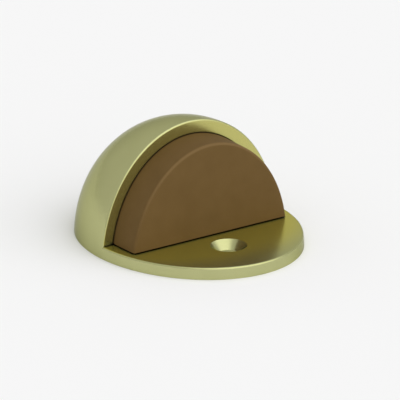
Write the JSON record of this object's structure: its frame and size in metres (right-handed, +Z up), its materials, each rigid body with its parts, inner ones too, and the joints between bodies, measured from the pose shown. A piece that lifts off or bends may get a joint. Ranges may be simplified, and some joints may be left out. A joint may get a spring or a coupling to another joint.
{
  "type": "floor door stop",
  "caption": "Half-dome floor door stop: a cast oval foot and cored dome with a countersunk screw hole, and a D-shaped rubber bumper set in the dome's flat front.",
  "frame": {"origin": "on the floor, under the middle of the oval plan", "axes": "+Z up from the floor, -Y forward to the door that meets the bumper, +X to the right seen from the front"},
  "size_m": [0.044, 0.0528, 0.0254],
  "materials": {
    "brass": "satin",
    "rubber": "matte"
  },
  "bodies": {
    "root": {"dome_body": "brass", "rubber_bumper": "rubber"}
  },
  "joints": []
}
